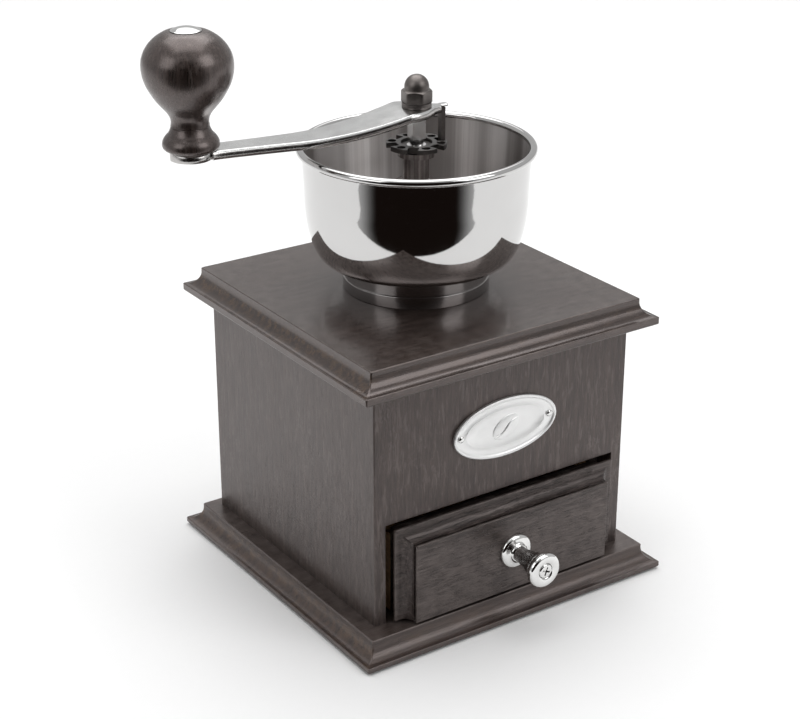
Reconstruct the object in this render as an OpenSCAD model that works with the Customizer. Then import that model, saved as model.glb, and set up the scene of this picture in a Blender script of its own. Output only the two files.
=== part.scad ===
/* [Case] */
// Width and depth of the wooden body over its panels
body_w = 110; // [106:1:116]
// Thickness of the four wooden panels
panel_t = 8; // [7:0.5:9]
// Thickness of the felt sheet under the base
felt_t = 0.8; // [0.6:0.1:1.2]
// Height of the base board's upper face above the table
base_top = 9.75; // [9.5:0.05:10.5]
// Half width of the base board at its lip
base_lip = 66.1; // [65:0.1:68]
// Half width of the base board's upper face
base_face = 61; // [60:0.1:62]
// How far the base board sits forward of the body's centre
base_shift = 1.8; // [0:0.1:3]
// Height of the underside of the top board
lid_z0 = 99.7; // [99:0.1:101]
// Half width of the top board at its lip
lid_lip = 63.1; // [62:0.1:64]
// Half width of the top board's upper face
lid_face = 57.9; // [57:0.1:59]

/* [Drawer] */
// Half width of the drawer opening in the front panel
bay_half = 50.4; // [50:0.1:51]
// Height of the upper edge of the drawer opening
bay_top = 48.4; // [48:0.1:49]
// Half width of the drawer box
drawer_half = 45.7; // [45:0.1:46]
// Half width of the thin lip around the drawer front
drawer_lip = 48.4; // [48:0.1:49]
// Half width of the raised field of the drawer front
drawer_face = 42.8; // [42:0.1:43]
// Height of the drawer knob's axis above the table
drawer_knob_z = 26.6; // [25:0.1:28]

/* [Hopper] */
// Outer radius of the bowl wall just under the rim bead
bowl_r = 41.14; // [40:0.02:42]
// Height of the centre of the rim bead
rim_z = 161.1; // [160.5:0.1:161.5]
// Radius of the rolled bead at the rim
bead_r = 1.44; // [1.2:0.02:1.6]
// Thickness of the bowl sheet
sheet_t = 0.8; // [0.6:0.1:0.9]
// Outer radius of the ring that the bowl stands on
collar_r = 26.8; // [26.6:0.1:27.5]

/* [Grinding set] */
// Radius of the shaft where it turns in the upper bush
shaft_r = 3.5; // [3.4:0.05:3.5]
// Radial running clearance of the shaft in its bushes
run_gap = 0.05; // [0.02:0.01:0.1]
// Large radius of the burr cone
cone_r = 14.4; // [14:0.1:14.5]
// Number of fine teeth in the burr ring
ring_teeth = 30; // [24:6:36]
// Outer radius of the adjusting wheel
wheel_r = 10.9; // [10.8:0.1:11.4]

/* [Crank] */
// Direction of the crank arm about the spindle, in degrees
crank_a = 168; // [160:1:176]
// Distance from the spindle to the knob's axis
crank_len = 82.5; // [78:0.5:86]
// Thickness of the crank arm
arm_t = 3.1; // [2.8:0.1:3.1]

/* [Hidden] */
$fn = 64;
a = body_w / 2;
inner = a - panel_t;
lid_z1 = 109.3;
bowl_z0 = 118.8;
arm_z_knob = 169.7;
arm_z_shaft = 175.8;
sq = 4.95;
knob_x = crank_len * cos(crank_a);
knob_y = crank_len * sin(crank_a);
leg_angles = [30, 150, 270];
foot_r = 22.6;

wood = [0.25, 0.2, 0.18];
steel = [0.75, 0.76, 0.78];
dark_steel = [0.3, 0.29, 0.3];

// one side of a moulded edge: lip, hollow, short upright and upper face
function edge_pts(lip, face, z0, zl, z1) = concat(
    [[lip - 0.5, z0], [lip, z0 + 0.5], [lip, zl - 0.35], [lip - 0.35, zl]],
    [for (t = [80:-10:0]) [face + (lip - 0.35 - face) * (1 - cos(t)), (z1 - 1.3) - (z1 - 1.3 - zl) * sin(t)]],
    [[face, z1 - 0.4], [face - 0.4, z1]]);
function both_sides(p) = concat(p, [for (i = [len(p) - 1:-1:0]) [-p[i][0], p[i][1]]]);

// square board whose moulded edge is mitred at the corners
module moulded_board(lip, face, z0, zl, z1) {
    pts = both_sides(edge_pts(lip, face, z0, zl, z1));
    intersection() {
        translate([0, lip + 1, 0]) rotate([90, 0, 0]) linear_extrude(2 * lip + 2) polygon(pts);
        rotate([0, 0, 90]) translate([0, lip + 1, 0]) rotate([90, 0, 0]) linear_extrude(2 * lip + 2) polygon(pts);
    }
}

module base_felt() {
    color([0.12, 0.12, 0.12])
    translate([-63.5, -63.5 - base_shift, 0]) cube([127, 127, felt_t]);
}

module base_board() {
    color(wood)
    difference() {
        translate([0, -base_shift, 0]) moulded_board(base_lip, base_face, felt_t, felt_t + 2.1, base_top);
        for (x = [-51, 51], y = [-35, 35]) translate([x, y, 0]) {
            cylinder(h = 20, r = 1.8);
            cylinder(h = felt_t + 2.6, r = 3.8);
        }
    }
}

module base_screws() {
    color(steel)
    for (x = [-51, 51], y = [-35, 35]) translate([x, y, felt_t + 0.2]) {
        cylinder(h = 2.2, r = 3.5);
        cylinder(h = 27, r = 1.5);
    }
}

// one wall of the case, mitred to its neighbours at both ends
module wall() {
    translate([0, 0, base_top]) linear_extrude(lid_z0 - base_top)
        polygon([[-a, -a], [a, -a], [inner, -inner], [-inner, -inner]]);
}

// drawer opening through the front of the case
module bay() {
    translate([-bay_half, -a - 1, base_top - 1]) cube([2 * bay_half, panel_t + 1, bay_top - base_top + 1]);
}

// side panel with pilot holes for the base screws and the dowels
module side_panel(s) {
    color(wood)
    difference() {
        rotate(90 * s) wall();
        bay();
        for (y = [-35, 35]) translate([s * 51, y, base_top - 1]) cylinder(h = 20, r = 1.52);
        for (y = [-30, 30]) translate([s * 51, y, lid_z0 - 10]) cylinder(h = 12, r = 2.02);
    }
}
module left_panel() { side_panel(-1); }
module right_panel() { side_panel(1); }

module back_panel() {
    color(wood)
    rotate(180) wall();
}

module front_panel() {
    color(wood)
    difference() {
        wall();
        bay();
        for (x = [-19.3, 19.3]) translate([x, -a + 6, 73.2]) rotate([90, 0, 0]) cylinder(h = 10, r = 0.77);
    }
}

module top_board() {
    color(wood)
    difference() {
        moulded_board(lid_lip, lid_face, lid_z0, lid_z0 + 2.85, lid_z1);
        translate([0, 0, lid_z0 - 1]) cylinder(h = 20, r = 20.3);
        for (t = leg_angles) rotate(t) translate([foot_r, 0, lid_z1 - 6]) cylinder(h = 8, r = 1.32);
        for (x = [-51, 51], y = [-30, 30]) translate([x, y, lid_z0 - 1]) cylinder(h = 8.1, r = 2.02);
    }
}

module top_dowels() {
    color([0.7, 0.55, 0.38])
    for (x = [-51, 51], y = [-30, 30]) translate([x, y, lid_z0 - 9.8]) cylinder(h = 16.6, r = 2);
}

function oval(rx, rz) = [for (t = [0:6:354]) [rx * cos(t), rz * sin(t)]];
module badge_plate() {
    color([0.85, 0.85, 0.86])
    difference() {
        union() {
            translate([0, -a, 73.0]) rotate([90, 0, 0]) linear_extrude(0.9) polygon(oval(22.4, 11.2));
            translate([0, -a - 0.9, 73.0]) rotate([90, 0, 0]) linear_extrude(0.5) difference() {
                polygon(oval(22.0, 10.8));
                polygon(oval(21.0, 9.8));
            }
        }
        for (x = [-19.3, 19.3]) translate([x, -a + 1, 73.2]) rotate([90, 0, 0]) cylinder(h = 4, r = 0.8);
    }
}

module badge_pins() {
    color([0.85, 0.85, 0.86])
    for (x = [-19.3, 19.3]) translate([x, -a, 73.2]) rotate([90, 0, 0]) {
        translate([0, 0, -5]) cylinder(h = 5.9, r = 0.75);
        translate([0, 0, 0.9]) intersection() {
            cylinder(h = 0.7, r = 1.3);
            translate([0, 0, -1.0]) sphere(r = 1.7);
        }
    }
}

// drawer front: thin lip, hollow, quirk and raised field; plan section along the width
function drawer_side_pts(face, lip, core) = concat(
    [[face - 0.35, -63.0], [face, -62.65], [face, -62.1], [face - 0.8, -61.8], [face, -61.5]],
    [for (t = [12:12:84]) [face + 3.6 * (1 - cos(t)), -61.5 + 3.6 * sin(t)]],
    [[face + 3.6, -57.9], [lip - 0.25, -57.9], [lip, -57.65], [lip, -56.7], [core, -56.7], [core, -51]]);
module drawer_front() {
    w = drawer_side_pts(drawer_face, drawer_lip, drawer_half);
    h = drawer_side_pts(41.6, 47.0, 45.0);
    color(wood)
    difference() {
        intersection() {
            translate([0, 0, 11]) linear_extrude(40)
                polygon(concat(w, [for (i = [len(w) - 1:-1:0]) [-w[i][0], w[i][1]]]));
            translate([-50, 0, 0]) rotate([90, 0, 90]) linear_extrude(100)
                polygon(concat([for (p = h) [p[1], p[0]]], [[-51, 11], [-63, 11]]));
        }
        translate([0, -45, drawer_knob_z]) rotate([90, 0, 0]) cylinder(h = 30, r = 1.55);
    }
}

module drawer_side(s) {
    color([0.55, 0.42, 0.3])
    difference() {
        translate([s > 0 ? drawer_half - 5 : -drawer_half, -50.95, 11]) cube([5, 93, 31]);
        translate([s * (drawer_half - 5) - 2, -52, 13.2]) cube([4, 100, 3.1]);
    }
}
module drawer_left_side() { drawer_side(-1); }
module drawer_right_side() { drawer_side(1); }

module drawer_back() {
    color([0.55, 0.42, 0.3])
    translate([-(drawer_half - 5.05), 37, 16.5]) cube([2 * (drawer_half - 5.05), 5, 25.5]);
}

module drawer_bottom() {
    color([0.6, 0.47, 0.33])
    translate([-(drawer_half - 3.1), -50.9, 13.25]) cube([2 * (drawer_half - 3.1), 92.9, 3]);
}

module turned_y(pts) {
    translate([0, 0, drawer_knob_z]) rotate([90, 0, 0]) rotate_extrude() polygon(pts);
}
module drawer_knob_rosette() {
    color(steel)
    turned_y([[1.6, 63.02], [6.5, 63.02], [6.6, 63.8], [6.2, 64.5], [5.0, 65.0], [3.6, 65.5], [3.2, 66.2], [1.6, 66.2]]);
}
module drawer_knob_stem() {
    color([0.16, 0.12, 0.1])
    turned_y([[1.6, 66.25], [2.9, 66.25], [3.0, 68.5], [3.5, 71.5], [4.4, 74.5], [5.3, 77.4], [1.6, 77.4]]);
}
module drawer_knob_head() {
    color(steel)
    turned_y([[2.9, 77.45], [5.4, 77.45], [6.2, 78.1], [6.55, 79.2], [6.4, 80.4], [5.7, 81.1], [4.4, 81.3], [2.9, 80.9]]);
}
module drawer_knob_screw() {
    color(steel)
    difference() {
        union() {
            turned_y([[0, 54], [1.5, 54], [1.5, 78.6], [2.8, 78.6], [2.8, 80.6], [2.2, 81.1], [0, 81.3]]);
            turned_y([[0, 51.4], [1.0, 52.4], [1.5, 54.0], [0, 54]]);
        }
        for (t = [0, 90]) translate([0, -80.6, drawer_knob_z]) rotate([0, t, 0]) translate([-1.6, -1.2, -0.3]) cube([3.2, 1.3, 0.6]);
    }
}

module hopper_collar() {
    color(steel)
    translate([0, 0, lid_z1]) difference() {
        union() {
            cylinder(h = bowl_z0 - lid_z1, r = collar_r - 0.35);
            cylinder(h = 4.6, r = collar_r);
        }
        translate([0, 0, -1]) cylinder(h = 20, r = collar_r - 1.2);
    }
}

// quarter ellipse between the bottom and the wall of the bowl
function bowl_arc(rx, rz, from, to, step) = [for (t = [from:step:to]) [32.45 + rx * cos(t), 145 - rz * sin(t)]];
module hopper_bowl() {
    color([0.85, 0.86, 0.88])
    difference() {
        union() {
            rotate_extrude($fn = 96) polygon(concat(
                [[20.1, bowl_z0], [collar_r, bowl_z0], [32.45, 120.3]],
                bowl_arc(7.98, 24.7, 80, 0, -10),
                [[bowl_r, rim_z], [bowl_r - sheet_t, rim_z]],
                bowl_arc(7.98 - sheet_t, 24.7 - sheet_t, 0, 80, 10),
                [[32.3, 120.3 + sheet_t], [collar_r - 0.2, bowl_z0 + sheet_t], [20.1, bowl_z0 + sheet_t]]));
            translate([0, 0, rim_z]) rotate_extrude($fn = 96) translate([bowl_r + 0.48, 0]) circle(r = bead_r, $fn = 24);
        }
        for (t = leg_angles) rotate(t) translate([foot_r, 0, bowl_z0 - 1]) cylinder(h = 3, r = 1.7);
    }
}

module burr_housing() {
    color(dark_steel)
    difference() {
        union() {
            translate([0, 0, 119.62]) cylinder(h = 2.38, r = 26);
            translate([0, 0, 90]) cylinder(h = 31, r = 19.8);
        }
        translate([0, 0, 93]) cylinder(h = 40, r = 17.85);
        translate([0, 0, 89]) cylinder(h = 10, r = 16.4);
        for (t = leg_angles) rotate(t) translate([foot_r, 0, 115]) cylinder(h = 10, r = 1.7);
        for (x = [-18.1, 18.1]) translate([x, 0, 89]) cylinder(h = 3.8, r = 1.22);
    }
}

function star(n, r_in, r_out) = [for (i = [0:2 * n - 1]) let (r = i % 2 == 0 ? r_out : r_in) [r * cos(180 * i / n), r * sin(180 * i / n)]];
module burr_ring() {
    color([0.45, 0.45, 0.47])
    difference() {
        translate([0, 0, 93.02]) cylinder(h = 19, r = 17.8);
        translate([0, 0, 92]) linear_extrude(9) polygon(star(ring_teeth, 15.2, 15.9));
        translate([0, 0, 101]) linear_extrude(6) polygon(star(ring_teeth / 2, 15.6, 16.6));
        translate([0, 0, 107]) linear_extrude(6) polygon(star(ring_teeth / 3, 16.2, 17.2));
    }
}

module bridge_leg() {
    rotate([90, 0, 0]) linear_extrude(5, center = true) polygon([
        [4.4, 150], [4.4, 141], [8, 140.2], [11.2, 137.4], [13.6, 133.4], [15.6, 128.6], [17.4, 124.4], [18.6, 122.02],
        [25.6, 122.02], [25.6, 124.4], [20.6, 125.4], [18.9, 129.2], [17.0, 134.6], [14.4, 140.4], [10.8, 145.2], [7.4, 148.4]]);
}
module upper_bridge() {
    color(dark_steel)
    difference() {
        union() {
            translate([0, 0, 141]) cylinder(h = 17.5, r = 4.95);
            translate([0, 0, 158]) cylinder(h = 2, r = 6.7);
            translate([0, 0, 141]) cylinder(h = 6, r = 6.3);
            for (t = leg_angles) rotate(t) {
                bridge_leg();
                translate([foot_r, 0, 122.02]) cylinder(h = 2.38, r = 3.4);
            }
        }
        translate([0, 0, 140]) cylinder(h = 30, r = 4.25);
        for (t = leg_angles) rotate(t) {
            translate([foot_r, 0, 120]) cylinder(h = 10, r = 1.7);
            translate([foot_r, 0, 124.42]) cylinder(h = 6, r = 3.1);
        }
    }
}

module hopper_screws() {
    color(steel)
    for (t = leg_angles) rotate(t) translate([foot_r, 0, 124.44]) difference() {
        union() {
            intersection() {
                cylinder(h = 1.5, r = 2.9);
                translate([0, 0, -2.6]) sphere(r = 4.1);
            }
            translate([0, 0, -20.2]) cylinder(h = 20.3, r = 1.3);
        }
        translate([-3.5, -0.35, 0.8]) cube([7, 0.7, 2]);
    }
}

module upper_bush() {
    color([0.72, 0.53, 0.28])
    translate([0, 0, 141]) difference() {
        cylinder(h = 19, r = 4.2);
        translate([0, 0, -1]) cylinder(h = 22, r = shaft_r + run_gap);
    }
}

module lower_bridge() {
    color(dark_steel)
    difference() {
        union() {
            translate([-19.6, -4.5, 86]) cube([39.2, 9, 3.98]);
            translate([0, 0, 85]) cylinder(h = 4.98, r = 7);
        }
        translate([0, 0, 84]) cylinder(h = 8, r = 4.05);
        for (x = [-18.1, 18.1]) translate([x, 0, 85]) cylinder(h = 6, r = 1.3);
    }
}

module lower_bridge_screws() {
    color(steel)
    for (x = [-18.1, 18.1]) translate([x, 0, 84.3]) difference() {
        union() {
            cylinder(h = 1.68, r = 2.6);
            cylinder(h = 8.2, r = 1.2);
        }
        translate([-3, -0.3, -1]) cube([6, 0.6, 1.7]);
    }
}

module lower_bush() {
    color([0.72, 0.53, 0.28])
    translate([0, 0, 85]) difference() {
        cylinder(h = 5.4, r = 4);
        translate([0, 0, -1]) cylinder(h = 8, r = 3 + run_gap);
    }
}

// compression spring swept along a helix
spring_turns = 6;
spring_steps = 18;
spring_sides = 6;
spring_n = spring_turns * spring_steps;
spring_pts = [for (i = [0:spring_n], k = [0:spring_sides - 1])
    let (t = i * 360 / spring_steps, z = 125.2 + i * 14.6 / spring_n, q = k * 360 / spring_sides, r = 4.95 + 0.5 * cos(q))
    [r * cos(t), r * sin(t), z + 0.5 * sin(q)]];
spring_faces = concat(
    [[for (k = [0:spring_sides - 1]) k]],
    [for (i = [0:spring_n - 1], k = [0:spring_sides - 1])
        [i * spring_sides + k, (i + 1) * spring_sides + k, (i + 1) * spring_sides + (k + 1) % spring_sides, i * spring_sides + (k + 1) % spring_sides]],
    [[for (k = [spring_sides - 1:-1:0]) spring_n * spring_sides + k]]);
module spring() {
    color(steel) polyhedron(points = spring_pts, faces = [for (f = spring_faces) [for (i = [len(f) - 1:-1:0]) f[i]]], convexity = 6);
}

module spring_washer() {
    color(steel)
    translate([0, 0, 124.05]) difference() {
        cylinder(h = 0.6, r = 6.2);
        translate([0, 0, -1]) cylinder(h = 3, r = shaft_r + 0.02);
    }
}

module adjusting_wheel() {
    color([0.55, 0.54, 0.53])
    difference() {
        union() {
            translate([0, 0, 161.2]) cylinder(h = 1.8, r = wheel_r);
            translate([0, 0, 160.3]) cylinder(h = 1, r = 6.9);
        }
        translate([0, 0, 159]) cylinder(h = 10, r = shaft_r + run_gap);
        translate([0, 0, 162]) cylinder(h = 4, r = 5.6);
        for (i = [0:5]) rotate(crank_a + 180 + 60 * i) {
            translate([7.3, -1.85, 158]) cube([10, 3.7, 10]);
            rotate(30) translate([8.8, 0, 158]) cylinder(h = 10, r = 1.5);
        }
    }
}

module main_shaft() {
    color(steel) {
        difference() {
            union() {
                translate([0, 0, 84.5]) cylinder(h = 39.6, r = 3);
                translate([0, 0, 124]) cylinder(h = 38, r = shaft_r);
                translate([0, 0, 161.9]) cylinder(h = 3, r = 2.45);
                rotate(crank_a) translate([-sq / 2, -sq / 2, 164.4]) cube([sq, sq, 11.2]);
                translate([0, 0, 175.4]) cylinder(h = 8.6, r = 2.42);
            }
            translate([0, 0, 84]) difference() {
                cylinder(h = 1.2, r = 4);
                cylinder(h = 1.2, r1 = 2.2, r2 = 3.2);
            }
        }
    }
}

module burr_cone() {
    color([0.42, 0.42, 0.44])
    difference() {
        union() {
            translate([0, 0, 94.2]) cylinder(h = 3.4, r = cone_r);
            translate([0, 0, 97.6]) cylinder(h = 18.4, r1 = cone_r, r2 = 7.4);
            translate([0, 0, 116]) cylinder(h = 8, r = 6);
        }
        translate([0, 0, 90]) cylinder(h = 40, r = 3.02);
        for (i = [0:7]) rotate(45 * i) translate([10.6, 0, 108]) rotate([38, 26, 0]) cube([3.2, 2.4, 30], center = true);
        for (i = [0:23]) rotate(15 * i + 7.5) translate([cone_r + 0.2, 0, 97]) rotate([24, 0, 0]) cube([1.6, 1.0, 9], center = true);
    }
}

// side outline of the crank arm in distance from the spindle and height
function arm_top(u) = u <= 5.5 ? arm_z_shaft : u >= 46 ? arm_z_knob :
    arm_z_knob + (arm_z_shaft - arm_z_knob) * pow((46 - u) / 40.5, 1.9);
arm_us = [5.5, 8, 10, 12, 14, 16, 18, 20, 23, 26, 29, 32, 36, 40, 46];
// half of the arm's plan: thin lip over the tongue, broad hub and round eye under the knob
eye_r = 7.4;
arm_plan = concat([[-11.7, 0.9], [-11.3, 1.4], [-8.8, 1.6], [-6.6, 2.6], [-4.4, 4.6], [-1.6, 7.2], [1.6, 8.9], [5, 9.6], [9, 9.5],
    [16, 8.9], [26, 7.9], [38, 6.8], [52, 5.9], [66, 5.4], [crank_len - 7.4, 5.4], [crank_len - 6.0, 5.7]],
    [for (t = [130:-10:10]) [crank_len + eye_r * cos(t), eye_r * sin(t)]]);
module crank_arm() {
    color([0.85, 0.86, 0.88])
    rotate(crank_a)
    difference() {
        intersection() {
            translate([0, 20, 0]) rotate([90, 0, 0]) linear_extrude(40) polygon(concat(
                [[-10.4, 161.3], [-8.9, 161.3], [-8.9, arm_z_shaft - arm_t - 0.6], [-8.2, arm_z_shaft - arm_t]],
                [for (u = arm_us) [u, arm_top(u) - arm_t]],
                [[crank_len + 9, arm_z_knob - arm_t], [crank_len + 9, arm_z_knob]],
                [for (i = [len(arm_us) - 1:-1:0]) [arm_us[i], arm_top(arm_us[i])]],
                [[-11.6, arm_z_shaft], [-11.7, arm_z_shaft - 0.1], [-11.7, arm_z_shaft - 0.5], [-10.4, arm_z_shaft - 0.9]]));
            translate([0, 0, 150]) linear_extrude(40)
                polygon(concat(arm_plan, [for (i = [len(arm_plan) - 1:-1:0]) [arm_plan[i][0], -arm_plan[i][1]]]));
        }
        translate([-sq / 2 - 0.05, -sq / 2 - 0.05, 160]) cube([sq + 0.1, sq + 0.1, 30]);
        translate([crank_len, 0, 150]) cylinder(h = 30, r = 2.03);
    }
}

module nut_washer() {
    color(dark_steel)
    translate([0, 0, 175.85]) difference() {
        cylinder(h = 1.7, r = 5.3);
        translate([0, 0, -1]) cylinder(h = 5, r = 2.6);
    }
}

module cap_nut() {
    color(dark_steel)
    difference() {
        union() {
            translate([0, 0, 177.6]) intersection() {
                rotate(18) cylinder(h = 4.5, r = 5.77, $fn = 6);
                translate([0, 0, -4.4]) cylinder(h = 9.8, r1 = 10.8, r2 = 4.9);
            }
            translate([0, 0, 182]) cylinder(h = 1.2, r = 4.4);
            translate([0, 0, 183.1]) intersection() {
                sphere(r = 4.4);
                cylinder(h = 5, r = 6);
            }
        }
        translate([0, 0, 177]) cylinder(h = 7.6, r = 2.5);
    }
}

module crank_pin() {
    color(steel)
    translate([knob_x, knob_y, 0]) {
        translate([0, 0, 166]) cylinder(h = 45.2, r = 2);
        translate([0, 0, 165.8]) cylinder(h = 0.78, r = 3.6);
        translate([0, 0, 210.65]) intersection() {
            cylinder(h = 1.4, r = 5.3);
            translate([0, 0, -10.2]) sphere(r = 11.6);
        }
    }
}

module crank_knob() {
    color(wood)
    translate([knob_x, knob_y, 0]) rotate_extrude($fn = 72) polygon([
        [2.06, 170.0], [7.8, 170.0], [9.0, 170.4], [9.8, 171.6], [9.7, 173.2], [8.8, 174.5], [7.7, 175.7], [7.0, 177.0], [6.7, 177.9],
        [6.45, 178.15], [6.7, 178.5], [6.5, 180.0], [6.75, 181.4], [7.6, 183.0], [8.8, 184.5], [10.2, 186.0], [11.65, 187.9], [13.0, 190.2],
        [14.3, 192.6], [15.15, 195.2], [15.5, 197.6], [15.54, 199.4], [15.15, 201.8], [14.25, 204.0], [12.85, 206.1], [11.1, 207.9], [9.3, 209.2],
        [7.7, 210.1], [6.2, 210.6], [2.06, 210.6]]);
}

base_felt();
base_board();
base_screws();
left_panel();
right_panel();
back_panel();
front_panel();
top_board();
top_dowels();
badge_plate();
badge_pins();
drawer_front();
drawer_left_side();
drawer_right_side();
drawer_back();
drawer_bottom();
drawer_knob_rosette();
drawer_knob_stem();
drawer_knob_head();
drawer_knob_screw();
hopper_collar();
hopper_bowl();
burr_housing();
burr_ring();
upper_bridge();
hopper_screws();
upper_bush();
lower_bridge();
lower_bridge_screws();
lower_bush();
spring();
spring_washer();
adjusting_wheel();
main_shaft();
burr_cone();
crank_arm();
nut_washer();
cap_nut();
crank_pin();
crank_knob();
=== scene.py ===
import math

import bmesh
import bpy
from mathutils import Matrix, Vector


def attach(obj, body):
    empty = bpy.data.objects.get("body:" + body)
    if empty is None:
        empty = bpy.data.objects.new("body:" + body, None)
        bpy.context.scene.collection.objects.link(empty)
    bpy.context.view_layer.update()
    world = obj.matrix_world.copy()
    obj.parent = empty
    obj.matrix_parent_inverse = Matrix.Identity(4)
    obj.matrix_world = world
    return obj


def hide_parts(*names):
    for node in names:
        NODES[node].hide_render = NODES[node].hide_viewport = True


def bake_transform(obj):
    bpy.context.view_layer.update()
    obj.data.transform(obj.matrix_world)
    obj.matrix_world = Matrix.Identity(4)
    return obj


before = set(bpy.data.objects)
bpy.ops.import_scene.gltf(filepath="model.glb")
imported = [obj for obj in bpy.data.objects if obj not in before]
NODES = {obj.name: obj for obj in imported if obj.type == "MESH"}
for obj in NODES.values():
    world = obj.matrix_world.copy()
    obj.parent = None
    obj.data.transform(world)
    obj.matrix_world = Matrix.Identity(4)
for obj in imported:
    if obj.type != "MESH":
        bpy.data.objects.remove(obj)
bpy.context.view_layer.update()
MM = 0.001


# ---------------------------------------------------------------- materials
class Net:
    """Short calls for building one material's node tree."""

    def __init__(self, name):
        self.mat = bpy.data.materials.new(name)
        self.mat.use_nodes = True
        self.nt = self.mat.node_tree
        self.bsdf = next(n for n in self.nt.nodes if n.type == "BSDF_PRINCIPLED")
        self.coord = self.nt.nodes.new("ShaderNodeTexCoord").outputs["Object"]

    def put(self, sock, val):
        if isinstance(val, bpy.types.NodeSocket):
            self.nt.links.new(val, sock)
        elif val is not None:
            sock.default_value = val

    def node(self, kind, **kw):
        n = self.nt.nodes.new(kind)
        for k, v in kw.items():
            setattr(n, k, v)
        return n

    def mapped(self, scale, loc=(0, 0, 0), rot=(0, 0, 0), src=None):
        n = self.node("ShaderNodeMapping")
        self.put(n.inputs["Vector"], src or self.coord)
        n.inputs["Scale"].default_value = scale
        n.inputs["Location"].default_value = loc
        n.inputs["Rotation"].default_value = rot
        return n.outputs["Vector"]

    def noise(self, vec, scale=1.0, detail=4.0, rough=0.55, dist=0.0):
        n = self.node("ShaderNodeTexNoise")
        self.put(n.inputs["Vector"], vec)
        n.inputs["Scale"].default_value = scale
        n.inputs["Detail"].default_value = detail
        n.inputs["Roughness"].default_value = rough
        n.inputs["Distortion"].default_value = dist
        return n.outputs["Fac"]

    def ramp(self, fac, *stops):
        n = self.node("ShaderNodeValToRGB")
        self.put(n.inputs["Fac"], fac)
        el = n.color_ramp.elements
        while len(el) < len(stops):
            el.new(0.5)
        for e, (p, c) in zip(el, stops):
            e.position = p
            e.color = c if isinstance(c, tuple) else (c, c, c, 1)
        return n.outputs["Color"]

    def span(self, val, a0, a1, b0, b1, clamp=True):
        n = self.node("ShaderNodeMapRange", clamp=clamp)
        self.put(n.inputs["Value"], val)
        for k, v in (("From Min", a0), ("From Max", a1), ("To Min", b0), ("To Max", b1)):
            n.inputs[k].default_value = v
        return n.outputs["Result"]

    def math(self, op, a, b=None, c=None):
        n = self.node("ShaderNodeMath", operation=op)
        for i, v in enumerate((a, b, c)):
            if v is not None:
                self.put(n.inputs[i], v)
        return n.outputs[0]

    def mix(self, fac, a, b, blend="MIX"):
        n = self.node("ShaderNodeMix", data_type="RGBA", blend_type=blend)
        self.put(n.inputs[0], fac)
        self.put(n.inputs[6], a)
        self.put(n.inputs[7], b)
        return n.outputs[2]

    def attr(self, name):
        return self.node("ShaderNodeAttribute", attribute_name=name).outputs["Fac"]

    def bump(self, height, strength, dist):
        n = self.node("ShaderNodeBump")
        self.put(n.inputs["Height"], height)
        n.inputs["Strength"].default_value = strength
        n.inputs["Distance"].default_value = dist
        self.put(self.bsdf.inputs["Normal"], n.outputs["Normal"])

    def set(self, **kw):
        names = {
            "base": "Base Color", "metal": "Metallic", "rough": "Roughness", "ior": "IOR",
            "spec": "Specular IOR Level", "coat": "Coat Weight", "coat_rough": "Coat Roughness",
            "aniso": "Anisotropic", "sheen": "Sheen Weight",
        }
        for k, v in kw.items():
            self.put(self.bsdf.inputs[names[k]], v)
        return self


def rgb(r, g, b):
    return (r, g, b, 1.0)


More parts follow.
